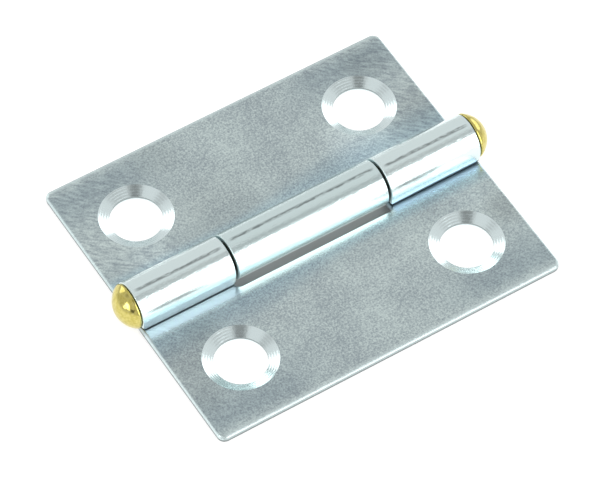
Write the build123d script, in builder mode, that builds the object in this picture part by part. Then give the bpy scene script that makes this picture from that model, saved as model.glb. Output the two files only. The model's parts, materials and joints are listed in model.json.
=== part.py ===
from build123d import *
import os
from math import atan, cos, degrees, radians, sin

os.makedirs("parts", exist_ok=True)

# A small steel butt hinge that lies open and flat. X runs along the pin, Y across the leaves and
# Z up. The backs of both leaves lie at Z = 0, and the pin's axis is over Y = 0.
# Driving sizes, in millimetres and degrees.
hinge_length = 40.0
leaf_reach = 17.3          # pin axis to a leaf's free edge
sheet = 0.9                # thickness of the sheet that both leaves are pressed from
barrel_radius = 2.5        # outside of the rolled knuckles
middle_length = 17.85      # the far leaf's one knuckle
knuckle_gap = 0.25         # play between neighbouring knuckles, along the pin
slot_clearance = 0.3       # between a leaf's cut edge and the knuckle that turns beside it
seam_gap = 0.1             # between the end of the rolled strip and the leaf that it closes on
straight_tip = 6.0         # the strip's end stays straight from this angle below the pin axis
leaf_corner = 0.8          # leaf corners, seen from above
tab_corner = 0.5           # corners of the rolled strip's end
slot_corner = 0.5          # corners of the cut edge beside the knuckles
edge_break = 0.2           # tumbled edges of the sheet

# Screw holes, two in each leaf.
hole_radius = 2.75
sink_radius = 3.88
sink_land = 0.3            # straight wall that is left under the countersink
hole_inset = 6.65          # hole centre to the leaf's short edge

# The riveted pin.
pin_clearance = 0.05       # radial, between the pin and the knuckles' bore
head_clearance = 0.08      # between a pin head and the end of the barrel
head_step = 0.05           # a head's radius is this much less than the barrel's
head_height = 1.8          # the wire's own head, at the right end
rivet_height = 1.65        # the head that is riveted on assembly, at the left end
head_band = 0.2            # straight wall of a head, under its dome
head_break = 0.08          # both edges of that wall

# Sizes that follow from them.
bore_radius = barrel_radius - sheet
pin_radius = bore_radius - pin_clearance
head_radius = barrel_radius - head_step
cut_edge = barrel_radius + slot_clearance
half_middle = middle_length / 2
hole_row = (cut_edge + leaf_reach) / 2
hole_spacing = hinge_length - 2 * hole_inset
sink_angle = 2 * degrees(atan((sink_radius - hole_radius) / (sheet - sink_land)))


def tip_direction(side):
    """The way the strip's straight end points, seen along the pin."""
    angle = radians(straight_tip)
    return Vector(-side * sin(angle), -cos(angle))


def rolled_section(side):
    """Outline of a leaf and of the knuckle rolled from it. The leaf points to side, 1 or -1."""
    turn = 270 + straight_tip
    down = tip_direction(side)
    inward = Vector(side * down.Y, -side * down.X)
    back = Line((side * leaf_reach, 0), (0, 0))
    outside = CenterArc((0, barrel_radius), barrel_radius, -90, -side * turn)
    drop = (outside @ 1).Y - sheet - seam_gap
    tip_outside = Line(outside @ 1, outside @ 1 + down * (-drop / down.Y))
    tip_end = Line(tip_outside @ 1, tip_outside @ 1 + inward * sheet)
    inside = CenterArc((0, barrel_radius), bore_radius, -90, -side * turn)
    Line(tip_end @ 1, inside @ 1)
    face = Line(inside @ 0, (side * leaf_reach, sheet))
    Line(face @ 1, back @ 0)


def cut_away(start, end, side):
    """Clears the sheet from X = start to X = end, where the other leaf's knuckle turns."""
    depth = cut_edge + 2 * barrel_radius
    with BuildSketch() as opening:
        with Locations(((start + end) / 2, side * (cut_edge - depth / 2))):
            Rectangle(end - start, depth)
    extrude(opening.sketch, amount=2 * barrel_radius, mode=Mode.SUBTRACT)


def screw_holes(side):
    """Two countersunk holes, in a row along the middle of the leaf's flat."""
    with Locations((0, side * hole_row, sheet)):
        with GridLocations(hole_spacing, 0, 2, 1):
            CounterSinkHole(hole_radius, sink_radius, counter_sink_angle=sink_angle)


def close_corners(leaf, side):
    """Rounds the leaf's corners in plan and the strip's end tabs, and then breaks every rim."""
    upright = leaf.edges().filter_by(Axis.Z).sort_by(Axis((0, 0, 0), (0, side, 0)))
    fillet(upright[-2:], leaf_corner)
    fillet(upright[:-2], slot_corner)
    tip = Axis((0, 0, 0), (0, tip_direction(side).X, tip_direction(side).Y))
    fillet(leaf.faces().filter_by(tip).edges().filter_by(Axis.X, reverse=True), tab_corner)
    chamfer(leaf.edges().filter_by(Axis.Y), edge_break)


def head_outline(end, height):
    """Half outline of the head at one end of the pin, 1 or -1. Returns its pole and its neck."""
    seat = hinge_length / 2 + head_clearance
    pole = (end * (seat + height), barrel_radius)
    rim = (end * (seat + head_band), barrel_radius + head_radius)
    neck = (end * seat, barrel_radius + pin_radius)
    TangentArc(pole, rim, tangent=(0, 1))
    wall = Line(rim, (neck[0], rim[1]))
    Line(wall @ 1, neck)
    return pole, neck


# The near leaf is rolled into the two outer knuckles, and its cut-away clears the middle one.
with BuildPart() as near_leaf:
    with BuildSketch(Plane.YZ.offset(-hinge_length / 2)):
        with BuildLine():
            rolled_section(-1)
        make_face()
    extrude(amount=hinge_length)
    cut_away(-half_middle - knuckle_gap, half_middle + knuckle_gap, -1)
    close_corners(near_leaf, -1)
    screw_holes(-1)
near_leaf.part.label = "near_leaf"
export_step(near_leaf.part, "parts/near_leaf.step")

# The far leaf is rolled into the middle knuckle, and is cut back beside the outer ones.
with BuildPart() as far_leaf:
    with BuildSketch(Plane.YZ.offset(-hinge_length / 2)):
        with BuildLine():
            rolled_section(1)
        make_face()
    extrude(amount=hinge_length)
    cut_away(-hinge_length / 2, -half_middle, 1)
    cut_away(half_middle, hinge_length / 2, 1)
    close_corners(far_leaf, 1)
    screw_holes(1)
far_leaf.part.label = "far_leaf"
export_step(far_leaf.part, "parts/far_leaf.step")

# The pin is turned about its axis: a plain shank with a domed head at each end.
with BuildPart() as hinge_pin:
    with BuildSketch(Plane.XZ) as half_pin:
        with BuildLine():
            wire_pole, wire_neck = head_outline(1, head_height)
            rivet_pole, rivet_neck = head_outline(-1, rivet_height)
            Line(wire_neck, rivet_neck)
            Line(wire_pole, rivet_pole)
        make_face()
        chamfer(half_pin.vertices().group_by(Axis.Y)[-1], head_break)
    revolve(axis=Axis((0, 0, barrel_radius), (1, 0, 0)))
hinge_pin.part.label = "hinge_pin"
export_step(hinge_pin.part, "parts/hinge_pin.step")
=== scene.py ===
import json
from math import asin, cos, pi, radians, sin
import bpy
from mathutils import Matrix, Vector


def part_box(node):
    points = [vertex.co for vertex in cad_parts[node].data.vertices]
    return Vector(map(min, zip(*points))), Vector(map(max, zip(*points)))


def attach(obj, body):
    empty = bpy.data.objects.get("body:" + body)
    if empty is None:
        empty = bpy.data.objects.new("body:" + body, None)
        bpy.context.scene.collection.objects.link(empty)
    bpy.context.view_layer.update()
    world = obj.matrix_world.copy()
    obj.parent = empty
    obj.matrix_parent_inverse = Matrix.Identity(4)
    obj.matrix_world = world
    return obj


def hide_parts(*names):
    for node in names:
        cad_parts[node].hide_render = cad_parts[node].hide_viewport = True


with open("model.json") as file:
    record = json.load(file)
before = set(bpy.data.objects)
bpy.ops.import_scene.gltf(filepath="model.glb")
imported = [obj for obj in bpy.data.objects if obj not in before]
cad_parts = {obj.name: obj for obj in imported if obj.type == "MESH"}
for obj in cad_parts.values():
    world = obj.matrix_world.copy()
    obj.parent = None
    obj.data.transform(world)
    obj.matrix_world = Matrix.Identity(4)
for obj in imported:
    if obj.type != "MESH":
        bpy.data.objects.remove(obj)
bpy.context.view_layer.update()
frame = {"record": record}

from types import SimpleNamespace

import bmesh
import bpy
from mathutils import Quaternion, Vector

MM = 0.001

# Sizes that the frame gives.
near_low, near_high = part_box("near_leaf")
pin_low, pin_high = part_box("hinge_pin")
hinge_length = near_high.x - near_low.x
half_length = hinge_length / 2
leaf_reach = -near_low.y
barrel_radius = near_high.z / 2
head_radius = (pin_high.z - pin_low.z) / 2
holes = next(mount for mount in frame["record"]["mounts"] if mount["name"] == "near_screw_holes")
hole_radius = holes["dims"]["hole_r_mm"] * MM
hole_spacing = holes["dims"]["spacing_x_mm"] * MM
hole_row = -holes["pos_m"][1]

# Sizes of the pressed sheet and its knuckles.
sheet = 0.9 * MM
half_middle = 8.925 * MM      # half of the middle knuckle's length
knuckle_gap = 0.25 * MM
inner_end = half_middle + knuckle_gap    # hinge's middle to where an outer knuckle begins
cut_edge = 2.8 * MM           # pin axis to the cut edge beside a knuckle
straight_tip = radians(6)     # the strip's end stays straight from this angle below the pin axis
seam_gap = 0.1 * MM
leaf_corner = 0.8 * MM
tab_corner = 0.5 * MM
slot_corner = 0.5 * MM
back_round = (0.3, 0.22)      # how wide and how high the sheet's edge is rounded, in mm
face_round = (0.7, 0.34)      # the same on the face, where the punch has drawn it down
sink_radius = 3.88 * MM
sink_land = 0.3 * MM
ring_pitch = 0.14 * MM        # of the rings that the turning tool has left in a countersink
ring_depth = 0.0035 * MM

# The curl, measured along the back of the sheet from where it leaves the flat.
curl_angle = 1.5 * pi + straight_tip
curl_length = barrel_radius * curl_angle
tip_drop = barrel_radius * (1 - sin(straight_tip)) - sheet - seam_gap
strip_end = curl_length + tip_drop / cos(straight_tip)

# Sizes of the pin's heads.
pin_radius = 1.55 * MM
head_seat = half_length + 0.08 * MM
head_band = 0.2 * MM
head_round = 0.09 * MM

# Patterns in the sheet's finish: real sizes in millimetres, along and across where there are two.
grain_size = 0.19             # the real grain is finer, and is drawn as coarse as it needs to show
cloud_size = 7.0
ripple_size = (1.2, 0.3)
ripple_slant = radians(40)
streak_size = (0.8, 0.17)
noise_span = (0.3, 0.7)       # nearly all of a noise's values lie between these

# Where the die has left its line, and where the screw holes' painted reflection lies, as angles
# round the curl.
near_die_line = radians(185.5)
far_die_line = radians(183)
hole_reflection_at = radians(246)

# Painted shade and painted light, spot by spot: x, y and reach on the flat blank in millimetres, and
# what each multiplies the colour by. The far blank is laid facing the other way, so its x and y run
# against the hinge's own.
near_shade_and_light_spots = (
    (-14.5, -4.9, 3.2, 0.84), (-17.5, -7.2, 5.5, 0.83), (19.0, -8.5, 3.0, 0.8),
    (16.5, -4.6, 4.0, 1.1), (-18.5, -12.0, 3.0, 0.88))
far_shade_and_light_spots = (
    (-10.8, -6.2, 5.0, 1.3), (14.5, -4.8, 3.6, 1.18), (6.0, -6.0, 7.0, 0.9),
    (-18.5, -6.5, 4.5, 0.87), (-16.5, -14.5, 3.5, 0.87), (8.0, -15.5, 4.0, 0.9))

# How finely the meshes are cut.
corner_steps = 6
rim_steps = 5
hole_steps = 96
wall_rows = 61
curl_steps = 76
pin_steps = 96
band_steps = 4
dome_steps = 24
hair = 1e-7                   # anything nearer than this, in metres, is the same place
weld = 0.002 * MM
leaf_crease = radians(25)     # a sharper bend than this is shaded as an edge
pin_crease = radians(35)

# Settings that several nodes share, and the sockets of a Mix node by number.
eased = {"interpolation_type": "SMOOTHSTEP"}
of_values = {"data_type": "FLOAT"}
of_colours = {"data_type": "RGBA"}
as_tint = {"data_type": "RGBA", "blend_type": "MULTIPLY"}
mix_share, value_a, value_b, colour_a, colour_b, mixed_colour = 0, 2, 3, 6, 7, 2


def add_node(tree, kind, settings=None, inputs=()):
    """Adds a node. Its inputs come in order, or by name or number.

    Each is a value, an output socket, or a node whose first output is meant.
    """
    node = tree.nodes.new(kind)
    for name, value in (settings or {}).items():
        setattr(node, name, value)
    for name, value in inputs.items() if isinstance(inputs, dict) else enumerate(inputs):
        if isinstance(value, bpy.types.Node):
            value = value.outputs[0]
        if isinstance(value, bpy.types.NodeSocket):
            tree.links.new(value, node.inputs[name])
        else:
            node.inputs[name].default_value = value
    return node


def linear(hex_colour):
    """An sRGB colour such as "A5B0B5", in the linear values that shaders take."""
    channels = [int(hex_colour[i:i + 2], 16) / 255 for i in (0, 2, 4)]
    return [c / 12.92 if c <= 0.04045 else ((c + 0.055) / 1.055) ** 2.4 for c in channels] + [1.0]


def per(size_mm):
    """A pattern's scale in Object coordinates, which are metres, from its real size."""
    return 1 / (size_mm * MM)


def new_metal(name):
    """A node material with a metallic Principled shader and nothing else."""
    material = bpy.data.materials.new(name)
    material.use_nodes = True
    shader = material.node_tree.nodes["Principled BSDF"]
    shader.inputs["Metallic"].default_value = 1.0
    return material, material.node_tree, shader


def on_blank(tree, knuckle):
    """Where a point lies on the flat blank, and how much it belongs to each part of the leaf.

    On the blank x runs along the pin, and y is 0 where the curl begins and negative on the flat. The
    knuckle lies between two distances from the leaf's middle. The middle knuckle's first one is
    negative, since it reaches past the middle.
    """
    place = add_node(tree, "ShaderNodeAttribute", {"attribute_name": "flat_place"}).outputs["Vector"]
    rim = add_node(tree, "ShaderNodeAttribute", {"attribute_name": "rim"}).outputs["Fac"]
    x, y, z = add_node(tree, "ShaderNodeSeparateXYZ", inputs=[place]).outputs
    from_middle = add_node(tree, "ShaderNodeMath", {"operation": "ABSOLUTE"}, [x])
    to_free_edge = add_node(tree, "ShaderNodeMath", {"operation": "ADD"}, [y, leaf_reach])
    to_short_edge = add_node(tree, "ShaderNodeMath", {"operation": "SUBTRACT"}, [half_length, from_middle])
    on_flat = add_node(tree, "ShaderNodeMath", {"operation": "LESS_THAN"}, [y, 0.0])
    curled = add_node(tree, "ShaderNodeMapRange", eased, [y, -2.6 * MM, -0.8 * MM, 0.0, 1.0])

    # How far a point lies inside the knuckle's ends, along the pin.
    past_start = add_node(tree, "ShaderNodeMath", {"operation": "SUBTRACT"}, [from_middle, knuckle[0]])
    before_end = add_node(tree, "ShaderNodeMath", {"operation": "SUBTRACT"}, [knuckle[1], from_middle])
    in_knuckle = add_node(tree, "ShaderNodeMath", {"operation": "MINIMUM"}, [past_start, before_end])

    # The band in front of the knuckle, which the die has rubbed, and where a reflection is painted. It
    # narrows as x grows.
    narrowing = (-2.0 * MM, 12.0 * MM)
    band_start = add_node(tree, "ShaderNodeMapRange", eased, [x, *narrowing, -4.2 * MM, -3.75 * MM])
    band_full = add_node(tree, "ShaderNodeMapRange", eased, [x, *narrowing, -3.3 * MM, -2.6 * MM])
    seam_band = add_node(tree, "ShaderNodeMapRange", eased, [y, band_start, band_full, 0.0, 1.0])
    return SimpleNamespace(
        place=place, x=x, y=y, z=z, rim=rim, from_middle=from_middle, to_free_edge=to_free_edge,
        to_short_edge=to_short_edge, on_flat=on_flat, curled=curled, in_knuckle=in_knuckle,
        seam_band=seam_band)


def sheet_patterns(tree, at):
    """Grain of the rolled sheet, clouds of the plating, ripples across the flat, streaks of the die."""
    grain = add_node(tree, "ShaderNodeTexNoise", inputs={
        "Vector": at.place, "Scale": per(grain_size), "Detail": 2.0, "Roughness": 0.65})
    cloud = add_node(tree, "ShaderNodeTexNoise", inputs={
        "Vector": at.place, "Scale": per(cloud_size), "Detail": 3.0, "Roughness": 0.6})
    slanted = add_node(tree, "ShaderNodeVectorRotate", {"rotation_type": "Z_AXIS"}, {
        "Vector": at.place, "Angle": ripple_slant})
    along_ripple = add_node(tree, "ShaderNodeVectorMath", {"operation": "MULTIPLY"}, [
        slanted, (per(ripple_size[0]), per(ripple_size[1]), 1)])
    ripple = add_node(tree, "ShaderNodeTexNoise", inputs={
        "Vector": along_ripple, "Scale": 1.0, "Detail": 1.0, "Distortion": 0.4})
    along_pin = add_node(tree, "ShaderNodeVectorMath", {"operation": "MULTIPLY"}, [
        at.place, (per(streak_size[0]), per(streak_size[1]), 1)])
    streak = add_node(tree, "ShaderNodeTexNoise", inputs={"Vector": along_pin, "Scale": 1.0, "Detail": 3.0})
    return SimpleNamespace(grain=grain, cloud=cloud, ripple=ripple, streak=streak)


def die_line_and_hole_reflection(tree, at, streak, die_line, hole_reflection):
    """The line that the die has left along a knuckle, and below it a shorter, dark painted reflection
    of the screw holes.

    Both wander with the streaks. The line is broken by them, and stops short of the knuckle's ends.
    """
    wander_width = 0.3 * MM
    wander = add_node(tree, "ShaderNodeMath", {"operation": "MULTIPLY"}, [streak, wander_width])
    wandered = add_node(tree, "ShaderNodeMath", {"operation": "ADD"}, [at.y, wander])
    cores = []
    for angle, fade in ((die_line, (0.04 * MM, 0.26 * MM)), (hole_reflection_at, (0.02 * MM, 0.3 * MM))):
        middle = barrel_radius * angle + wander_width / 2
        off = add_node(tree, "ShaderNodeMath", {"operation": "SUBTRACT"}, [wandered, middle])
        beside = add_node(tree, "ShaderNodeMath", {"operation": "ABSOLUTE"}, [off])
        cores.append(add_node(tree, "ShaderNodeMapRange", eased, [beside, *fade, 1.0, 0.0]))
    line_core, reflection_core = cores
    breaks = add_node(tree, "ShaderNodeMapRange", inputs=[streak, 0.36, 0.56, 0.35, 1.0])
    broken = add_node(tree, "ShaderNodeMath", {"operation": "MULTIPLY"}, [line_core, breaks])
    line_length = add_node(tree, "ShaderNodeMapRange", inputs=[at.in_knuckle, 0.3 * MM, 0.9 * MM, 0.0, 1.0])
    line = add_node(tree, "ShaderNodeMath", {"operation": "MULTIPLY"}, [broken, line_length])

    # The painted reflection lies near each outer knuckle's left end, and is about half as long as the
    # knuckle.
    reflection_middle, reflection_fade = 3.4 * MM, (1.5 * MM, 3.6 * MM)
    from_left = add_node(tree, "ShaderNodeMath", {"operation": "ADD"}, [at.x, half_length])
    along_knuckle = add_node(tree, "ShaderNodeMath", {"operation": "MODULO"}, [
        from_left, half_length + inner_end])
    off_middle = add_node(tree, "ShaderNodeMath", {"operation": "SUBTRACT"}, [along_knuckle, reflection_middle])
    along_reflection = add_node(tree, "ShaderNodeMath", {"operation": "ABSOLUTE"}, [off_middle])
    reflection_length = add_node(tree, "ShaderNodeMapRange", eased, [along_reflection, *reflection_fade, hole_reflection, 0.0])
    hole_reflection_streak = add_node(tree, "ShaderNodeMath", {"operation": "MULTIPLY"}, [reflection_core, reflection_length])
    return line, hole_reflection_streak


def flat_colour(tree, at, pattern, ripples, painted_spots):
    """Grey zinc, mottled by grain and clouds and, toward the short edges, by ripples.

    Painted shade darkens it at the outer corners and along a band beside the barrel. It is bluer
    toward the pin, and painted shade and painted light darken or brighten it spot by spot.
    """
    grain_share, most_ripple = 0.72, 0.42 * ripples
    barrel_shade_row, barrel_shade_fade, barrel_shade_share = 5.1 * MM, (0.4 * MM, 2.0 * MM), 0.35
    even_mottle = add_node(tree, "ShaderNodeMix", of_values, {
        mix_share: grain_share, value_a: pattern.cloud, value_b: pattern.grain})
    ripple_share = add_node(tree, "ShaderNodeMapRange", eased, [
        at.from_middle, 6.0 * MM, 15.0 * MM, 0.0, most_ripple])
    mottle = add_node(tree, "ShaderNodeMix", of_values, {
        mix_share: ripple_share, value_a: even_mottle, value_b: pattern.ripple})
    zinc = add_node(tree, "ShaderNodeValToRGB", inputs=[mottle])
    for stop, position, hex_colour in zip(zinc.color_ramp.elements, (0.38, 0.62), ("98A4A9", "CAD8D6")):
        stop.position = position
        stop.color = linear(hex_colour)

    # Painted shade at the outer corners.
    toward_end = add_node(tree, "ShaderNodeMapRange", eased, [
        at.from_middle, 4.0 * MM, 14.0 * MM, 0.0, 1.0])
    toward_edge = add_node(tree, "ShaderNodeMapRange", eased, [at.y, -15.5 * MM, -9.0 * MM, 1.0, 0.0])
    inside_edge = add_node(tree, "ShaderNodeMapRange", eased, [at.y, -17.0 * MM, -15.6 * MM, 0.2, 1.0])
    corner_shade_rows = add_node(tree, "ShaderNodeMath", {"operation": "MULTIPLY"}, [toward_edge, inside_edge])
    corner_shade = add_node(tree, "ShaderNodeMath", {"operation": "MULTIPLY"}, [toward_end, corner_shade_rows])
    # Painted shade in a band beside the barrel, in its shadow.
    from_barrel_shade = add_node(tree, "ShaderNodeMath", {"operation": "ADD"}, [at.y, barrel_shade_row])
    beside_barrel_shade = add_node(tree, "ShaderNodeMath", {"operation": "ABSOLUTE"}, [from_barrel_shade])
    barrel_shade = add_node(tree, "ShaderNodeMapRange", eased, [beside_barrel_shade, *barrel_shade_fade, barrel_shade_share, 0.0])
    dull = add_node(tree, "ShaderNodeMath", {"operation": "MAXIMUM"}, [corner_shade, barrel_shade])
    shaded_zinc = add_node(tree, "ShaderNodeMix", as_tint, {
        mix_share: dull, colour_a: zinc, colour_b: linear("DFE3E7")})

    blue_start = add_node(tree, "ShaderNodeMapRange", eased, [
        at.x, -12.0 * MM, 6.0 * MM, -8.0 * MM, -5.0 * MM])
    blue = add_node(tree, "ShaderNodeMapRange", eased, [at.y, blue_start, -3.6 * MM, 0.0, 1.0])
    blued = add_node(tree, "ShaderNodeMix", as_tint, {
        mix_share: blue, colour_a: shaded_zinc.outputs[mixed_colour], colour_b: linear("EBF7FF")})

    spotted = blued.outputs[mixed_colour]
    # Painted shade where a spot darkens the colour, and painted light where it brightens it.
    for spot_x, spot_y, reach, gain in painted_spots:
        from_spot = add_node(tree, "ShaderNodeVectorMath", {"operation": "DISTANCE"}, [
            at.place, (spot_x * MM, spot_y * MM, sheet)]).outputs["Value"]
        spot = add_node(tree, "ShaderNodeMapRange", eased, [
            from_spot, 0.2 * reach * MM, reach * MM, gain, 1.0])
        spotted = add_node(tree, "ShaderNodeVectorMath", {"operation": "SCALE"}, {0: spotted, "Scale": spot})
    return spotted


def rubbed_and_reflected_colour(tree, at, plain):
    """What is rubbed bright: the plain colour on the knuckles, and beside the seam a bluer one,
    which is a painted reflection of the knuckle.
    """
    seam_width = add_node(tree, "ShaderNodeMapRange", eased, [at.y, -4.2 * MM, -3.4 * MM, 0.0, 1.0])
    seam_length = add_node(tree, "ShaderNodeMapRange", inputs=[
        at.in_knuckle, -0.2 * MM, 0.3 * MM, 0.0, 1.0])
    seam_flat = add_node(tree, "ShaderNodeMath", {"operation": "MULTIPLY"}, [seam_width, at.on_flat])
    seam = add_node(tree, "ShaderNodeMath", {"operation": "MULTIPLY"}, [seam_flat, seam_length])
    # Painted reflection: beside the seam the colour is bluer, more so toward the right.
    along_seam = add_node(tree, "ShaderNodeMapRange", eased, [at.x, -8.0 * MM, 8.0 * MM, 0.0, 1.0])
    seam_reflection_colour = add_node(tree, "ShaderNodeMix", of_colours, {
        mix_share: along_seam, colour_a: linear("BECFD9"), colour_b: linear("CAE7FE")})
    rubbed = add_node(tree, "ShaderNodeMix", of_colours, {
        mix_share: seam, colour_a: linear(plain), colour_b: seam_reflection_colour.outputs[mixed_colour]})
    return rubbed.outputs[mixed_colour]


def rubbed_and_lit_share(tree, at):
    """How much a point takes the brighter colour: rubbed by the die beside the knuckle, and by
    tumbling at the edges, with a painted reflection on the first and a painted highlight on the second.
    """
    edge_share = 0.7
    # Painted highlight along the edges, on top of the brightness that tumbling has rubbed into them.
    at_free_edge = add_node(tree, "ShaderNodeMapRange", eased, [
        at.to_free_edge, 0.15 * MM, 0.65 * MM, edge_share, 0.0])
    at_short_edge = add_node(tree, "ShaderNodeMapRange", eased, [
        at.to_short_edge, 0.05 * MM, 0.2 * MM, edge_share, 0.0])
    edge_wear_and_highlight = add_node(tree, "ShaderNodeMath", {"operation": "MAXIMUM"}, [at_free_edge, at_short_edge])
    return add_node(tree, "ShaderNodeMath", {"operation": "MAXIMUM"}, [at.seam_band, edge_wear_and_highlight])


def colour_left(tree, at, line, hole_reflection_streak):
    """What is left of the colour where the die's line and painted shade darken it.

    Painted shade darkens the strip's end at the seam's gap, the flat beside the seam in the knuckle's
    shadow, and the highlight along the free edge, which the punch has drawn down. The screw holes'
    painted reflection darkens the knuckle. The lower part of the sheet's rims is darker too.
    """
    least_by_end_shade, least_by_line, least_by_edge_shade, least_low_on_rim = 0.2, 0.34, 0.68, 0.3
    # Painted shade at the strip's end, at the seam's gap. It reaches further into the strip where x is
    # greater.
    end_shade_depth = add_node(tree, "ShaderNodeMapRange", eased, [
        at.x, 4.0 * MM, 16.0 * MM, 0.06 * MM, 0.3 * MM])
    to_end = add_node(tree, "ShaderNodeMath", {"operation": "SUBTRACT"}, [strip_end, at.y])
    past_end = add_node(tree, "ShaderNodeMath", {"operation": "SUBTRACT"}, [to_end, end_shade_depth])
    left_by_end_shade = add_node(tree, "ShaderNodeMapRange", eased, [
        past_end, -0.05 * MM, 0.1 * MM, least_by_end_shade, 1.0])
    # Painted shade on the flat beside the seam, in the knuckle's shadow, with more of it where x is greater.
    seam_shade_share = add_node(tree, "ShaderNodeMapRange", eased, [at.x, 6.0 * MM, 12.0 * MM, 0.28, 0.4])
    seam_shade_width = add_node(tree, "ShaderNodeMapRange", eased, [at.y, -3.0 * MM, -2.4 * MM, 0.0, seam_shade_share])
    seam_shade = add_node(tree, "ShaderNodeMath", {"operation": "MULTIPLY"}, [seam_shade_width, at.on_flat])
    left_by_seam_shade = add_node(tree, "ShaderNodeMath", {"operation": "SUBTRACT"}, [left_by_end_shade, seam_shade])
    # The die's line darkens the colour, and the screw holes' painted reflection darkens it more.
    left_by_line = add_node(tree, "ShaderNodeMapRange", inputs=[line, 0.0, 1.0, 1.0, least_by_line])
    left_by_line_and_reflection = add_node(tree, "ShaderNodeMath", {"operation": "SUBTRACT"}, [left_by_line, hole_reflection_streak])
    left_by_both = add_node(tree, "ShaderNodeMath", {"operation": "MULTIPLY", "use_clamp": True}, [
        left_by_seam_shade, left_by_line_and_reflection])

    # The lower part of the sheet's rims, next to the floor, is darker.
    low = add_node(tree, "ShaderNodeMapRange", inputs=[at.z, 0.32 * MM, 0.46 * MM, 1.0, 0.0])
    low_rim = add_node(tree, "ShaderNodeMath", {"operation": "MULTIPLY"}, [at.rim, low])
    darker_low_rim = add_node(tree, "ShaderNodeMath", {"operation": "SUBTRACT", "use_clamp": True}, [
        low_rim, at.curled])
    # Painted shade that dims the highlight along the free edge.
    left_by_edge_shade = add_node(tree, "ShaderNodeMapRange", eased, [
        at.to_free_edge, 0.1 * MM, 0.3 * MM, least_by_edge_shade, 1.0])
    left_low_on_rim = add_node(tree, "ShaderNodeMapRange", inputs=[
        darker_low_rim, 0.0, 1.0, left_by_edge_shade, least_low_on_rim])
    return add_node(tree, "ShaderNodeMath", {"operation": "MULTIPLY"}, [left_by_both, left_low_on_rim])


def sheet_roughness(tree, at, pattern):
    """Satin flats, smooth knuckles, and rims that shearing and tumbling have left dull."""
    burnished_rough, rim_rough = 0.29, 0.36
    flat_rough = add_node(tree, "ShaderNodeMapRange", inputs=[pattern.cloud, *noise_span, 0.18, 0.24])
    beside_rough = add_node(tree, "ShaderNodeMix", of_values, {
        mix_share: at.seam_band, value_a: flat_rough, value_b: burnished_rough})
    curled_rough = add_node(tree, "ShaderNodeMapRange", inputs=[pattern.grain, *noise_span, 0.12, 0.2])
    rough = add_node(tree, "ShaderNodeMix", of_values, {
        mix_share: at.curled, value_a: beside_rough, value_b: curled_rough})
    return add_node(tree, "ShaderNodeMix", of_values, {
        mix_share: at.rim, value_a: rough, value_b: rim_rough})


def sheet_height(tree, at, pattern, line, ripples):
    """Height in millimetres: each pattern's own depth, and the dish that sinking each hole has left.

    The die's line is sunk in, and the strip's end has sprung outward, more so where x is greater.
    """
    flat_grain, curled_grain, curled_streak = 0.014, 0.015, 0.014
    flat_ripples, curled_ripples = 0.04 * ripples, 0.008
    line_depth, dish_depth, dish_fade = -0.008, -0.06, (2.4 * MM, 6.4 * MM)
    grain_depth = add_node(tree, "ShaderNodeMapRange", inputs=[
        at.curled, 0.0, 1.0, flat_grain, curled_grain])
    flat_ripple = add_node(tree, "ShaderNodeMapRange", eased, [
        at.from_middle, 4.0 * MM, 15.0 * MM, 0.0, flat_ripples])
    ripple_depth = add_node(tree, "ShaderNodeMix", of_values, {
        mix_share: at.curled, value_a: flat_ripple, value_b: curled_ripples})
    streak_depth = add_node(tree, "ShaderNodeMapRange", inputs=[at.curled, 0.0, 1.0, 0.0, curled_streak])
    folded_over = add_node(tree, "ShaderNodeCombineXYZ", inputs=[at.from_middle, at.y])
    from_hole = add_node(tree, "ShaderNodeVectorMath", {"operation": "DISTANCE"}, [
        folded_over, (hole_spacing / 2, -hole_row, 0)]).outputs["Value"]
    dish = add_node(tree, "ShaderNodeMapRange", eased, [from_hole, *dish_fade, dish_depth, 0.0])
    grained = add_node(tree, "ShaderNodeMath", {"operation": "MULTIPLY_ADD"}, [
        pattern.grain, grain_depth, dish])
    rippled = add_node(tree, "ShaderNodeMath", {"operation": "MULTIPLY_ADD"}, [
        pattern.ripple, ripple_depth, grained])
    streaked = add_node(tree, "ShaderNodeMath", {"operation": "MULTIPLY_ADD"}, [
        pattern.streak, streak_depth, rippled])
    full_spring = add_node(tree, "ShaderNodeMapRange", inputs=[at.x, -14 * MM, 10 * MM, 0.16, 0.37])
    spring = add_node(tree, "ShaderNodeMapRange", eased, [at.y, 11.2 * MM, 14.6 * MM, 0.0, full_spring])
    sprung = add_node(tree, "ShaderNodeMath", {"operation": "ADD"}, [streaked, spring])
    return add_node(tree, "ShaderNodeMath", {"operation": "MULTIPLY_ADD"}, [line, line_depth, sprung])


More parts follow.
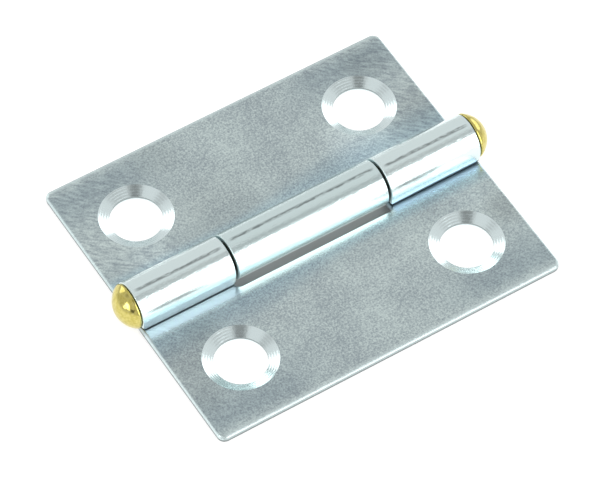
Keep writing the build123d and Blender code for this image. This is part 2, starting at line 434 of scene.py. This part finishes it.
def zinc_sheet(name, rubbed, ripples, painted_spots, knuckle, die_line, hole_reflection):
    """Bright zinc, passivated blue, on cold-rolled steel that was curled in a die and then run in a tumbler.

    That gives satin grey flats with a fine grain, edges rubbed bright, on which a highlight is painted,
    and knuckles that mirror the room, with fine streaks along them. Painted shade, painted light and
    painted reflections are laid on the colour too. Rubbed is the colour of the knuckles. Ripples and
    the holes' reflection are strengths from 0 to 1.
    """
    material, tree, shader = new_metal(name)
    at = on_blank(tree, knuckle)
    pattern = sheet_patterns(tree, at)
    line, hole_reflection_streak = die_line_and_hole_reflection(tree, at, pattern.streak, die_line, hole_reflection)
    colour = add_node(tree, "ShaderNodeMix", of_colours, {
        mix_share: rubbed_and_lit_share(tree, at),
        colour_a: flat_colour(tree, at, pattern, ripples, painted_spots),
        colour_b: rubbed_and_reflected_colour(tree, at, rubbed)})
    shaded = add_node(tree, "ShaderNodeMix", as_tint, {
        mix_share: 1.0, colour_a: colour.outputs[mixed_colour], colour_b: colour_left(tree, at, line, hole_reflection_streak)})
    rough = sheet_roughness(tree, at, pattern)
    height = sheet_height(tree, at, pattern, line, ripples)
    bump = add_node(tree, "ShaderNodeBump", inputs={"Height": height, "Strength": 1.0, "Distance": MM})
    tree.links.new(shaded.outputs[mixed_colour], shader.inputs["Base Color"])
    tree.links.new(rough.outputs[0], shader.inputs["Roughness"])
    tree.links.new(bump.outputs[0], shader.inputs["Normal"])
    return material


def zinc_countersink():
    """Bright zinc over a countersink cut by a turning tool, whose fine rings show through.

    It mirrors the room in arcs. The punched wall under its foot is darker near its top.
    """
    material, tree, shader = new_metal("bright_zinc_on_turned_countersink")
    grain_mm, grain_depth = 0.3, 0.006 * MM
    dark_band_height, dark_band_fade, dark_band_strength = sink_land - 0.09 * MM, (0.06 * MM, 0.11 * MM), 0.8
    place = add_node(tree, "ShaderNodeTexCoord").outputs["Object"]
    height = add_node(tree, "ShaderNodeSeparateXYZ", inputs=[place]).outputs["Z"]
    # A darker band near the top of the punched wall.
    from_dark_band = add_node(tree, "ShaderNodeMath", {"operation": "SUBTRACT"}, [height, dark_band_height])
    beside_dark_band = add_node(tree, "ShaderNodeMath", {"operation": "ABSOLUTE"}, [from_dark_band])
    dark_band = add_node(tree, "ShaderNodeMapRange", eased, [beside_dark_band, *dark_band_fade, dark_band_strength, 0.0])
    colour = add_node(tree, "ShaderNodeMix", of_colours, {
        mix_share: dark_band, colour_a: linear("D5E2E3"), colour_b: linear("5E6465")})
    tree.links.new(colour.outputs[mixed_colour], shader.inputs["Base Color"])
    grain = add_node(tree, "ShaderNodeTexNoise", inputs={
        "Vector": place, "Scale": per(grain_mm), "Detail": 2.0})
    rough = add_node(tree, "ShaderNodeMapRange", inputs=[grain, *noise_span, 0.13, 0.21])
    tree.links.new(rough.outputs[0], shader.inputs["Roughness"])
    bump = add_node(tree, "ShaderNodeBump", inputs={
        "Height": grain, "Strength": 1.0, "Distance": grain_depth})
    tree.links.new(bump.outputs[0], shader.inputs["Normal"])
    return material


def brass_wire():
    """Brass wire, headed cold: a warm mirror with hammered flats.

    Its shank is painted dark, as painted shade where it shows in the gaps between the knuckles.
    """
    material, tree, shader = new_metal("headed_brass_wire")
    dent_mm, dent_depth = 1.5, 0.1
    speck_mm, speck_depth = 0.3, 0.003
    under_head = 0.01 * MM
    shader.inputs["Roughness"].default_value = 0.13
    place = add_node(tree, "ShaderNodeTexCoord").outputs["Object"]
    dents = add_node(tree, "ShaderNodeTexNoise", inputs={
        "Vector": place, "Scale": per(dent_mm), "Detail": 1.0})
    specks = add_node(tree, "ShaderNodeTexNoise", inputs={
        "Vector": place, "Scale": per(speck_mm), "Detail": 2.0})
    tarnish = add_node(tree, "ShaderNodeMapRange", inputs=[specks, 0.35, 0.65, 0.0, 1.0])
    brass = add_node(tree, "ShaderNodeMix", of_colours, {
        mix_share: tarnish, colour_a: linear("B7AB5A"), colour_b: linear("C8BD74")})
    along = add_node(tree, "ShaderNodeSeparateXYZ", inputs=[place]).outputs["X"]
    from_middle = add_node(tree, "ShaderNodeMath", {"operation": "ABSOLUTE"}, [along])
    # Painted shade: the shank shows only in the gaps between the knuckles, so it is painted dark.
    on_shank = add_node(tree, "ShaderNodeMath", {"operation": "LESS_THAN"}, [
        from_middle, head_seat - under_head])
    shank_shaded = add_node(tree, "ShaderNodeMix", of_colours, {
        mix_share: on_shank, colour_a: brass.outputs[mixed_colour], colour_b: linear("35341F")})
    tree.links.new(shank_shaded.outputs[mixed_colour], shader.inputs["Base Color"])
    dented = add_node(tree, "ShaderNodeMath", {"operation": "MULTIPLY"}, [dents, dent_depth])
    height = add_node(tree, "ShaderNodeMath", {"operation": "MULTIPLY_ADD"}, [specks, speck_depth, dented])
    bump = add_node(tree, "ShaderNodeBump", inputs={"Height": height, "Strength": 1.0, "Distance": MM})
    tree.links.new(bump.outputs[0], shader.inputs["Normal"])
    return material


def rounded_outline(corners):
    """Points and outward normals along an outline whose corners, in order, are (x, y, radius)."""
    points = []
    for i, (x, y, radius) in enumerate(corners):
        here = Vector((x, y))
        back = (here - Vector(corners[i - 1][:2])).normalized()
        ahead = (Vector(corners[(i + 1) % len(corners)][:2]) - here).normalized()
        out_back = Vector((back.y, -back.x))
        out_ahead = Vector((ahead.y, -ahead.x))
        bend = 1 if out_back.dot(ahead) < 0 else -1
        centre = here - bend * radius * (out_back + out_ahead)
        for k in range(corner_steps + 1):
            turn = k / corner_steps * pi / 2
            normal = out_back * cos(turn) + out_ahead * sin(turn)
            points.append((centre + bend * radius * normal, normal))
    return points


def circle(centre_x, centre_y, radius):
    """Points round a hole, against the clock."""
    turns = [2 * pi * k / hole_steps for k in range(hole_steps)]
    return [(centre_x + radius * cos(a), centre_y + radius * sin(a)) for a in turns]


def rim_profile():
    """How far in from the outline, and how high, the sheet's rounded edge runs from back to face."""
    quarter = [k / rim_steps * pi / 2 for k in range(rim_steps + 1)]
    back = [(back_round[0] * (1 - sin(a)), back_round[1] * (1 - cos(a))) for a in quarter]
    face = [(face_round[0] * (1 - sin(a)), face_round[1] * (1 - cos(a))) for a in reversed(quarter)]
    return [(i * MM, h * MM) for i, h in back] + [(i * MM, sheet - h * MM) for i, h in face]


def rim_share(place, normal):
    """How much of the full rounding a rim has, at a place on the outline.

    All of it is along the free edge, and less along the short edges. Of the rest, least is at the
    strip's end, and most at the ends of a knuckle.
    """
    short_edge, least, beside_slot, knuckle_end = 0.4, 0.15, 0.25, 0.3
    knuckle_fade, end_fade = 1.5 * MM, 1.2 * MM
    if place.y < -hole_row:
        return short_edge + (1 - short_edge) * abs(normal.y)
    on_knuckle = min(1, max(0, (place.y + cut_edge) / knuckle_fade))
    before_end = min(1, max(0, (strip_end - place.y) / end_fade))
    return least + (beside_slot * (1 - abs(normal.y)) + knuckle_end * on_knuckle) * before_end


def ring(mesh, points, height, rim=0.0):
    """A closed loop of vertices, and whether it lies on the sheet's rim."""
    layer = mesh.verts.layers.float["rim"]
    loop = [mesh.verts.new((x, y, height)) for x, y in points]
    for vertex in loop:
        vertex[layer] = rim
    return loop


def close_between(mesh, lower, upper):
    """Quads between two loops with as many vertices."""
    for k in range(len(lower)):
        mesh.faces.new((lower[k - 1], lower[k], upper[k], upper[k - 1]))


def fill(mesh, loops, up):
    """A flat face with holes, inside the first loop and outside the others."""
    edges = []
    for loop in loops:
        for k in range(len(loop)):
            edge = mesh.edges.get((loop[k - 1], loop[k])) or mesh.edges.new((loop[k - 1], loop[k]))
            edges.append(edge)
    bmesh.ops.triangle_fill(mesh, edges=edges, use_beauty=True, use_dissolve=False, normal=(0, 0, up))


def crosses_strip(edge):
    """Whether an edge joins two rows of the part that will be curled, within a level face."""
    levels = sorted(vertex.co.y for vertex in edge.verts)
    level_normal = 0.9999
    return (levels[0] > -hair and levels[1] - levels[0] > hair and len(edge.link_faces) == 2
            and all(abs(face.normal.z) > level_normal for face in edge.link_faces))


def flat_blank(name, corners):
    """A leaf as it is punched from the sheet, before it is curled: x along the pin, y away from it.

    It is cut across in narrow strips where the curling will bend it.
    """
    outline = rounded_outline(corners)
    mesh = bmesh.new()
    mesh.verts.layers.float.new("rim")
    profile = rim_profile()
    rims = [
        ring(mesh, [p - n * inset * rim_share(p, n) for p, n in outline], height, 0 < k < len(profile) - 1)
        for k, (inset, height) in enumerate(profile)
    ]
    for lower, upper in zip(rims, rims[1:]):
        close_between(mesh, lower, upper)
    for height, rim, radius, up in ((0, rims[0], hole_radius, -1), (sheet, rims[-1], sink_radius, 1)):
        openings = [circle(side * hole_spacing / 2, -hole_row, radius) for side in (-1, 1)]
        fill(mesh, [rim] + [ring(mesh, opening, height) for opening in openings], up)
    for k in range(curl_steps + 1):
        row = curl_length * k / curl_steps
        geometry = mesh.verts[:] + mesh.edges[:] + mesh.faces[:]
        bmesh.ops.bisect_plane(mesh, geom=geometry, dist=hair, plane_co=(0, row, 0), plane_no=(0, 1, 0))
    crossing = [edge for edge in mesh.edges if crosses_strip(edge)]
    bmesh.ops.dissolve_edges(mesh, edges=crossing, use_verts=False)
    blank = bpy.data.meshes.new(name)
    mesh.to_mesh(blank)
    mesh.free()
    return blank


def new_tree(name, sizes):
    """A geometry tree with named inputs. Returns it and its inputs by name."""
    tree = bpy.data.node_groups.new(name, "GeometryNodeTree")
    tree.interface.new_socket("Geometry", in_out="INPUT", socket_type="NodeSocketGeometry")
    tree.interface.new_socket("Geometry", in_out="OUTPUT", socket_type="NodeSocketGeometry")
    for label, kind in sizes:
        tree.interface.new_socket(label, in_out="INPUT", socket_type="NodeSocket" + kind)
    return tree, add_node(tree, "NodeGroupInput").outputs


def sunk_wall(tree, size):
    """One countersink's wall: a grid bent into a tube, from the sheet's back to its face.

    The tool's rings run round it, and stop short of the face.
    """
    last_ring = 0.98              # as a share of the sheet's thickness
    columns = add_node(tree, "ShaderNodeMath", {"operation": "ADD"}, [size["Hole Steps"], 1])
    grid = add_node(tree, "GeometryNodeMeshGrid", inputs=[1.0, 1.0, columns, wall_rows])
    centred = add_node(tree, "GeometryNodeInputPosition")
    from_corner = add_node(tree, "ShaderNodeVectorMath", {"operation": "ADD"}, [centred, (0.5, 0.5, 0)])
    round_share, up_share, _ = add_node(tree, "ShaderNodeSeparateXYZ", inputs=[from_corner]).outputs
    turn = add_node(tree, "ShaderNodeMath", {"operation": "MULTIPLY"}, [round_share, 2 * pi])
    height = add_node(tree, "ShaderNodeMath", {"operation": "MULTIPLY"}, [up_share, size["Sheet"]])
    over_land = add_node(tree, "ShaderNodeMath", {"operation": "SUBTRACT"}, [height, size["Land"]])
    on_cone = add_node(tree, "ShaderNodeMath", {"operation": "MAXIMUM"}, [over_land, 0.0])
    cone = add_node(tree, "ShaderNodeMath", {"operation": "MULTIPLY_ADD"}, [
        on_cone, size["Sink Slope"], size["Hole Radius"]])
    rings = add_node(tree, "ShaderNodeMath", {"operation": "DIVIDE"}, [on_cone, size["Ring Pitch"]])
    phase = add_node(tree, "ShaderNodeMath", {"operation": "MULTIPLY"}, [rings, 2 * pi])
    wave = add_node(tree, "ShaderNodeMath", {"operation": "SINE"}, [phase])
    below_face = add_node(tree, "ShaderNodeMath", {"operation": "LESS_THAN"}, [up_share, last_ring])
    depth = add_node(tree, "ShaderNodeMath", {"operation": "MULTIPLY"}, [below_face, size["Ring Depth"]])
    radius = add_node(tree, "ShaderNodeMath", {"operation": "MULTIPLY_ADD"}, [wave, depth, cone])
    spoke = add_node(tree, "ShaderNodeCombineXYZ", inputs={"X": radius, "Z": height})
    place = add_node(tree, "ShaderNodeVectorRotate", {"rotation_type": "Z_AXIS"}, {
        "Vector": spoke, "Angle": turn})
    wall = add_node(tree, "GeometryNodeSetPosition", inputs={"Geometry": grid, "Position": place})
    return add_node(tree, "GeometryNodeFlipFaces", inputs=[wall])


def in_both_holes(tree, size, wall):
    """The same wall, standing in both holes."""
    start_x = add_node(tree, "ShaderNodeMath", {"operation": "MULTIPLY"}, [size["Hole Spacing"], -0.5])
    start_y = add_node(tree, "ShaderNodeMath", {"operation": "MULTIPLY"}, [size["Hole Row"], -1.0])
    start = add_node(tree, "ShaderNodeCombineXYZ", inputs=[start_x, start_y])
    step = add_node(tree, "ShaderNodeCombineXYZ", inputs=[size["Hole Spacing"]])
    centres = add_node(tree, "GeometryNodeMeshLine", {"mode": "OFFSET"}, {
        "Count": 2, "Start Location": start, "Offset": step})
    walls = add_node(tree, "GeometryNodeInstanceOnPoints", inputs={"Points": centres, "Instance": wall})
    return add_node(tree, "GeometryNodeRealizeInstances", inputs=[walls])


def curled_place(tree, size, place):
    """Where a point of the flat blank lies on the leaf.

    It stays flat before the pin, goes round it for the curl angle, and is straight again at the tip.
    A leaf that faces the other way is turned half round.
    """
    x, y, z = add_node(tree, "ShaderNodeSeparateXYZ", inputs=[place]).outputs
    run = add_node(tree, "ShaderNodeMath", {"operation": "DIVIDE"}, [y, size["Barrel Radius"]])
    begun = add_node(tree, "ShaderNodeMath", {"operation": "MAXIMUM"}, [run, 0.0])
    angle = add_node(tree, "ShaderNodeMath", {"operation": "MINIMUM"}, [begun, size["Curl Angle"]])
    rolled = add_node(tree, "ShaderNodeMath", {"operation": "MULTIPLY"}, [angle, size["Barrel Radius"]])
    straight = add_node(tree, "ShaderNodeMath", {"operation": "SUBTRACT"}, [y, rolled])
    laid = add_node(tree, "ShaderNodeCombineXYZ", inputs=[x, straight, z])
    axis = add_node(tree, "ShaderNodeCombineXYZ", inputs={"Z": size["Barrel Radius"]})
    curled = add_node(tree, "ShaderNodeVectorRotate", {"rotation_type": "X_AXIS"}, {
        "Vector": laid, "Center": axis, "Angle": angle})
    side = add_node(tree, "ShaderNodeCombineXYZ", inputs=[size["Facing"], size["Facing"], 1.0])
    return add_node(tree, "ShaderNodeVectorMath", {"operation": "MULTIPLY"}, [curled, side])


def leaf_tree():
    """Puts the countersinks' walls into a flat blank, and curls its strip round the pin."""
    tree, size = new_tree("pressed_leaf", [
        ("Sheet", "Float"), ("Barrel Radius", "Float"), ("Curl Angle", "Float"), ("Facing", "Float"),
        ("Hole Spacing", "Float"), ("Hole Row", "Float"), ("Hole Radius", "Float"), ("Sink Slope", "Float"),
        ("Land", "Float"), ("Ring Pitch", "Float"), ("Ring Depth", "Float"), ("Hole Steps", "Int"),
        ("Sheet Finish", "Material"), ("Countersink Finish", "Material")])
    both_walls = in_both_holes(tree, size, sunk_wall(tree, size))
    walls = add_node(tree, "GeometryNodeSetMaterial", inputs={
        "Geometry": both_walls, "Material": size["Countersink Finish"]})
    plate = add_node(tree, "GeometryNodeSetMaterial", inputs={
        "Geometry": size["Geometry"], "Material": size["Sheet Finish"]})
    joined = add_node(tree, "GeometryNodeJoinGeometry", inputs=[walls])
    tree.links.new(plate.outputs[0], joined.inputs[0])
    whole = add_node(tree, "GeometryNodeMergeByDistance", inputs={"Geometry": joined, "Distance": weld})

    # Where each point lies on the flat blank stays with it, for the finish to follow.
    place = add_node(tree, "GeometryNodeInputPosition")
    marked = add_node(tree, "GeometryNodeStoreNamedAttribute", {"data_type": "FLOAT_VECTOR"}, {
        "Geometry": whole, "Name": "flat_place", "Value": place})
    leaf = add_node(tree, "GeometryNodeSetPosition", inputs={
        "Geometry": marked, "Position": curled_place(tree, size, place)})
    bend = add_node(tree, "GeometryNodeInputMeshEdgeAngle").outputs["Unsigned Angle"]
    sharp = add_node(tree, "ShaderNodeMath", {"operation": "GREATER_THAN"}, [bend, leaf_crease])
    smooth = add_node(tree, "GeometryNodeSetShadeSmooth", {"domain": "FACE"}, {
        "Geometry": leaf, "Shade Smooth": True})
    creased = add_node(tree, "GeometryNodeSetShadeSmooth", {"domain": "EDGE"}, {
        "Geometry": smooth, "Selection": sharp, "Shade Smooth": False})
    real = add_node(tree, "GeometryNodeRealizeInstances", inputs=[creased])
    add_node(tree, "NodeGroupOutput", inputs=[real])
    return tree


def finished_piece(name, mesh, body, node, tree=None, values=None):
    """Runs a geometry tree on a mesh, keeps the result as a plain mesh and puts it on its body."""
    unfinished = bpy.data.objects.new(name + "_blank", mesh)
    bpy.context.scene.collection.objects.link(unfinished)
    if tree:
        modifier = unfinished.modifiers.new(tree.name, "NODES")
        modifier.node_group = tree
        for socket in tree.interface.items_tree:
            if socket.in_out == "INPUT" and socket.name in values:
                modifier[socket.identifier] = values[socket.name]
    weighted = unfinished.modifiers.new("weighted_normals", "WEIGHTED_NORMAL")
    weighted.keep_sharp = True
    evaluated = unfinished.evaluated_get(bpy.context.evaluated_depsgraph_get())
    final = bpy.data.meshes.new_from_object(evaluated)
    final.name = name
    bpy.data.objects.remove(unfinished)
    piece = bpy.data.objects.new(name, final)
    bpy.context.scene.collection.objects.link(piece)
    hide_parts(node)
    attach(piece, body)


def leaf_sizes():
    """The geometry tree's inputs that both leaves share."""
    return {
        "Sheet": sheet, "Barrel Radius": barrel_radius, "Curl Angle": curl_angle,
        "Hole Spacing": hole_spacing, "Hole Row": hole_row, "Hole Radius": hole_radius,
        "Sink Slope": (sink_radius - hole_radius) / (sheet - sink_land), "Land": sink_land,
        "Ring Pitch": ring_pitch, "Ring Depth": ring_depth, "Hole Steps": hole_steps,
        "Countersink Finish": zinc_countersink()}


def near_leaf(tree, sizes):
    """The near leaf, whose strips are curled into the two outer knuckles."""
    corners = [
        (-half_length, -leaf_reach, leaf_corner), (half_length, -leaf_reach, leaf_corner),
        (half_length, strip_end, tab_corner), (inner_end, strip_end, tab_corner),
        (inner_end, -cut_edge, slot_corner), (-inner_end, -cut_edge, slot_corner),
        (-inner_end, strip_end, tab_corner), (-half_length, strip_end, tab_corner)]
    finish = zinc_sheet("near_bright_zinc_sheet", rubbed="D5E3E3", ripples=0.4, painted_spots=near_shade_and_light_spots,
                        knuckle=(inner_end, half_length), die_line=near_die_line, hole_reflection=0.55)
    finished_piece("near_leaf_curled", flat_blank("near_blank", corners), "near_side", "near_leaf",
                   tree, {**sizes, "Facing": 1.0, "Sheet Finish": finish})


def far_leaf(tree, sizes):
    """The far leaf, whose strip is curled into the middle knuckle."""
    corners = [
        (-half_length, -leaf_reach, leaf_corner), (half_length, -leaf_reach, leaf_corner),
        (half_length, -cut_edge, slot_corner), (half_middle, -cut_edge, slot_corner),
        (half_middle, strip_end, tab_corner), (-half_middle, strip_end, tab_corner),
        (-half_middle, -cut_edge, slot_corner), (-half_length, -cut_edge, slot_corner)]
    finish = zinc_sheet("far_bright_zinc_sheet", rubbed="CDDDDD", ripples=1.0, painted_spots=far_shade_and_light_spots,
                        knuckle=(-half_length, half_middle), die_line=far_die_line, hole_reflection=0.0)
    finished_piece("far_leaf_curled", flat_blank("far_blank", corners), "far_side", "far_leaf",
                   tree, {**sizes, "Facing": -1.0, "Sheet Finish": finish})


def head_profile(end):
    """A head's outline as (x, radius), from the shank to its pole: seat, rim, band and dome."""
    cap = end - head_seat - head_band
    dome_radius = (head_radius ** 2 + cap ** 2) / (2 * cap)
    points = [(head_seat, pin_radius)]
    for k in range(band_steps + 1):
        a = k / band_steps * pi / 2
        points.append((head_seat + head_round * (1 - cos(a)), head_radius - head_round * (1 - sin(a))))
    opening = asin(head_radius / dome_radius)
    for k in range(dome_steps + 1):
        a = opening * (1 - k / dome_steps)
        points.append((end - dome_radius * (1 - cos(a)), dome_radius * sin(a)))
    return points


def riveted_pin():
    """The pin, turned about its axis from the outline of its two heads and its shank."""
    whole = [(-x, r) for x, r in reversed(head_profile(-pin_low.x))] + head_profile(pin_high.x)
    turns = [2 * pi * k / pin_steps for k in range(pin_steps)]
    mesh = bmesh.new()
    loops = [
        [mesh.verts.new((x, radius * cos(a), barrel_radius + radius * sin(a))) for a in turns]
        for x, radius in whole[1:-1]
    ]
    for left, right in zip(loops, loops[1:]):
        close_between(mesh, left, right)
    for loop, x in ((loops[0], whole[0][0]), (loops[-1], whole[-1][0])):
        pole = mesh.verts.new((x, 0, barrel_radius))
        for k in range(pin_steps):
            mesh.faces.new((loop[k - 1], loop[k], pole))
    bmesh.ops.recalc_face_normals(mesh, faces=mesh.faces[:])
    for face in mesh.faces:
        face.smooth = True
    for edge in mesh.edges:
        edge.smooth = edge.calc_face_angle(0) < pin_crease
    pin = bpy.data.meshes.new("pin_blank")
    mesh.to_mesh(pin)
    mesh.free()
    pin.materials.append(brass_wire())
    finished_piece("riveted_pin", pin, "near_side", "hinge_pin")


def pale_paper():
    """White paper for the floor. It is lifted to white for the camera, and keeps the hinge's shadow.

    The strip that is seen through the slot is not lifted, and shows painted shade on top of its real
    shadow. The metal mirrors the lift too, less of it in that strip, as painted shade, and none far
    from the hinge.
    """
    lift_level, mirror_level, strip_level = 0.72, 0.78, 0.45
    plain_grey, seen_grey = 0.8, 0.45
    slot_middle, slot_half = (0, -1.55 * MM), (9.3 * MM, 1.6 * MM)
    lift_fade = (25 * MM, 60 * MM)
    material = bpy.data.materials.new("pale_floor")
    material.use_nodes = True
    tree = material.node_tree
    tree.nodes.clear()
    rays = add_node(tree, "ShaderNodeLightPath").outputs
    place = add_node(tree, "ShaderNodeTexCoord").outputs["Object"]
    # Painted shade: the floor under the slot is left unlifted, so it shows darker than its real shadow.
    centred = add_node(tree, "ShaderNodeVectorMath", {"operation": "SUBTRACT"}, [place, (*slot_middle, 0)])
    scaled = add_node(tree, "ShaderNodeVectorMath", {"operation": "DIVIDE"}, [centred, (*slot_half, 1)])
    sides = add_node(tree, "ShaderNodeVectorMath", {"operation": "ABSOLUTE"}, [scaled])
    side = add_node(tree, "ShaderNodeSeparateXYZ", inputs=[sides]).outputs
    beyond = add_node(tree, "ShaderNodeMath", {"operation": "MAXIMUM"}, [side["X"], side["Y"]])
    off_strip = add_node(tree, "ShaderNodeMath", {"operation": "GREATER_THAN"}, [beyond, 1.0])
    seen = add_node(tree, "ShaderNodeMath", {"operation": "MULTIPLY"}, [rays["Is Camera Ray"], off_strip])
    away = add_node(tree, "ShaderNodeVectorMath", {"operation": "LENGTH"}, [place]).outputs["Value"]
    nearby = add_node(tree, "ShaderNodeMapRange", eased, [away, *lift_fade, mirror_level, 0.0])
    in_metal = add_node(tree, "ShaderNodeMapRange", inputs=[off_strip, 0.0, 1.0, strip_level, 1.0])
    near_metal = add_node(tree, "ShaderNodeMath", {"operation": "MULTIPLY"}, [nearby, in_metal])
    mirrored = add_node(tree, "ShaderNodeMath", {"operation": "MULTIPLY"}, [
        rays["Is Glossy Ray"], near_metal])
    shown = add_node(tree, "ShaderNodeMath", {"operation": "MAXIMUM"}, [seen, mirrored])
    lift = add_node(tree, "ShaderNodeMath", {"operation": "MULTIPLY"}, [shown, lift_level])
    grey = add_node(tree, "ShaderNodeMapRange", inputs=[
        rays["Is Camera Ray"], 0.0, 1.0, plain_grey, seen_grey])
    paper = add_node(tree, "ShaderNodeBsdfDiffuse", inputs=[grey])
    glow = add_node(tree, "ShaderNodeEmission", inputs={"Strength": lift})
    both = add_node(tree, "ShaderNodeAddShader", inputs=[paper, glow])
    add_node(tree, "ShaderNodeOutputMaterial", inputs=[both])
    return material


def floor():
    """A plain pale floor under the hinge."""
    half, height = 3.0, -0.02 * MM
    mesh = bpy.data.meshes.new("floor")
    corners = [(-half, -half, height), (half, -half, height), (half, half, height), (-half, half, height)]
    mesh.from_pydata(corners, [], [(0, 1, 2, 3)])
    mesh.materials.append(pale_paper())
    plane = bpy.data.objects.new("floor", mesh)
    bpy.context.scene.collection.objects.link(plane)


def light_tent():
    """A white tent as the world, with duller patches in its roof and panels round it, one of them dark."""
    patch_fade, panel_fade = (0.55, 1.2), (0.86, 1.14)
    world = bpy.data.worlds.new("light_tent")
    bpy.context.scene.world = world
    world.use_nodes = True
    tree = world.node_tree
    tree.nodes.clear()
    way = add_node(tree, "ShaderNodeTexCoord").outputs["Generated"]

    # The tent's level, and its duller patches: where each lies, how far it spreads, and its level.
    level = 0.9
    patches = (
        ((0.3, -0.25, 0.9), (0.36, 0.18, 0.6), 0.6),
        ((-0.19, -0.38, 0.9), (0.22, 0.25, 0.5), 0.3),
        ((-0.62, 0.32, 0.72), (0.18, 0.2, 0.3), 0.62),
    )
    for middle, spread, patch_level in patches:
        offset = add_node(tree, "ShaderNodeVectorMath", {"operation": "SUBTRACT"}, [way, middle])
        scaled = add_node(tree, "ShaderNodeVectorMath", {"operation": "DIVIDE"}, [offset, spread])
        away = add_node(tree, "ShaderNodeVectorMath", {"operation": "LENGTH"}, [scaled]).outputs["Value"]
        inside = add_node(tree, "ShaderNodeMapRange", eased, [away, *patch_fade, 1.0, 0.0])
        level = add_node(tree, "ShaderNodeMix", of_values, {
            mix_share: inside, value_a: level, value_b: patch_level})

    # Each panel: its middle, turned to the right of the front and up, half its width and height, and
    # its level. All angles are in degrees.
    panels = (
        (22, 23.2, 20, 26.2, 3.8),
        (105, 14, 20, 14, 2.1),
        (-84, 18, 11, 12, 4.0),
        (-55, 5, 10, 15, 0.2),
        (-162, 19, 17, 13, 2.1),
    )
    split = add_node(tree, "ShaderNodeSeparateXYZ", inputs=[way]).outputs
    front = add_node(tree, "ShaderNodeMath", {"operation": "MULTIPLY"}, [split["Y"], -1.0])
    turn = add_node(tree, "ShaderNodeMath", {"operation": "ARCTAN2"}, [split["X"], front])
    rise = add_node(tree, "ShaderNodeMath", {"operation": "ARCSINE"}, [split["Z"]])
    place = add_node(tree, "ShaderNodeCombineXYZ", inputs=[turn, rise])
    for middle_turn, middle_rise, half_turn, half_rise, panel_level in panels:
        middle = (radians(middle_turn), radians(middle_rise), 0)
        half = (radians(half_turn), radians(half_rise), 1)
        centred = add_node(tree, "ShaderNodeVectorMath", {"operation": "SUBTRACT"}, [place, middle])
        scaled = add_node(tree, "ShaderNodeVectorMath", {"operation": "DIVIDE"}, [centred, half])
        sides = add_node(tree, "ShaderNodeVectorMath", {"operation": "ABSOLUTE"}, [scaled])
        side = add_node(tree, "ShaderNodeSeparateXYZ", inputs=[sides]).outputs
        beyond = add_node(tree, "ShaderNodeMath", {"operation": "MAXIMUM"}, [side["X"], side["Y"]])
        inside = add_node(tree, "ShaderNodeMapRange", eased, [beyond, *panel_fade, 1.0, 0.0])
        level = add_node(tree, "ShaderNodeMix", of_values, {
            mix_share: inside, value_a: level, value_b: panel_level})
    tent = add_node(tree, "ShaderNodeBackground", inputs={"Color": (1, 1, 1, 1), "Strength": level})
    white = add_node(tree, "ShaderNodeBackground", inputs={"Color": (1, 1, 1, 1), "Strength": 1.0})
    rays = add_node(tree, "ShaderNodeLightPath").outputs
    both = add_node(tree, "ShaderNodeMixShader", inputs=[rays["Is Camera Ray"], tent, white])
    add_node(tree, "ShaderNodeOutputWorld", inputs=[both])


def camera():
    """A long lens that looks down on the hinge from beyond its near left corner."""
    azimuth, elevation, roll = radians(-33.639), radians(54.831), radians(1.837)
    distance = 410.548 * MM
    aim = Vector((-0.472, -0.528, 0)) * MM
    focal_px, width_px = 4073.8, 600
    back = Vector((sin(azimuth) * cos(elevation), -cos(azimuth) * cos(elevation), sin(elevation)))
    lens = bpy.data.cameras.new("camera")
    lens.sensor_width = 36.0
    lens.lens = focal_px / width_px * lens.sensor_width
    lens.clip_start, lens.clip_end = 0.01, 20.0
    holder = bpy.data.objects.new("camera", lens)
    holder.rotation_mode = "QUATERNION"
    holder.rotation_quaternion = back.to_track_quat("Z", "Y") @ Quaternion((0, 0, 1), roll)
    holder.location = aim + back * distance
    bpy.context.scene.collection.objects.link(holder)
    bpy.context.scene.camera = holder


pressing, leaf_inputs = leaf_tree(), leaf_sizes()
near_leaf(pressing, leaf_inputs)
far_leaf(pressing, leaf_inputs)
riveted_pin()
floor()
light_tent()
camera()
bpy.context.scene.view_settings.view_transform = "Standard"
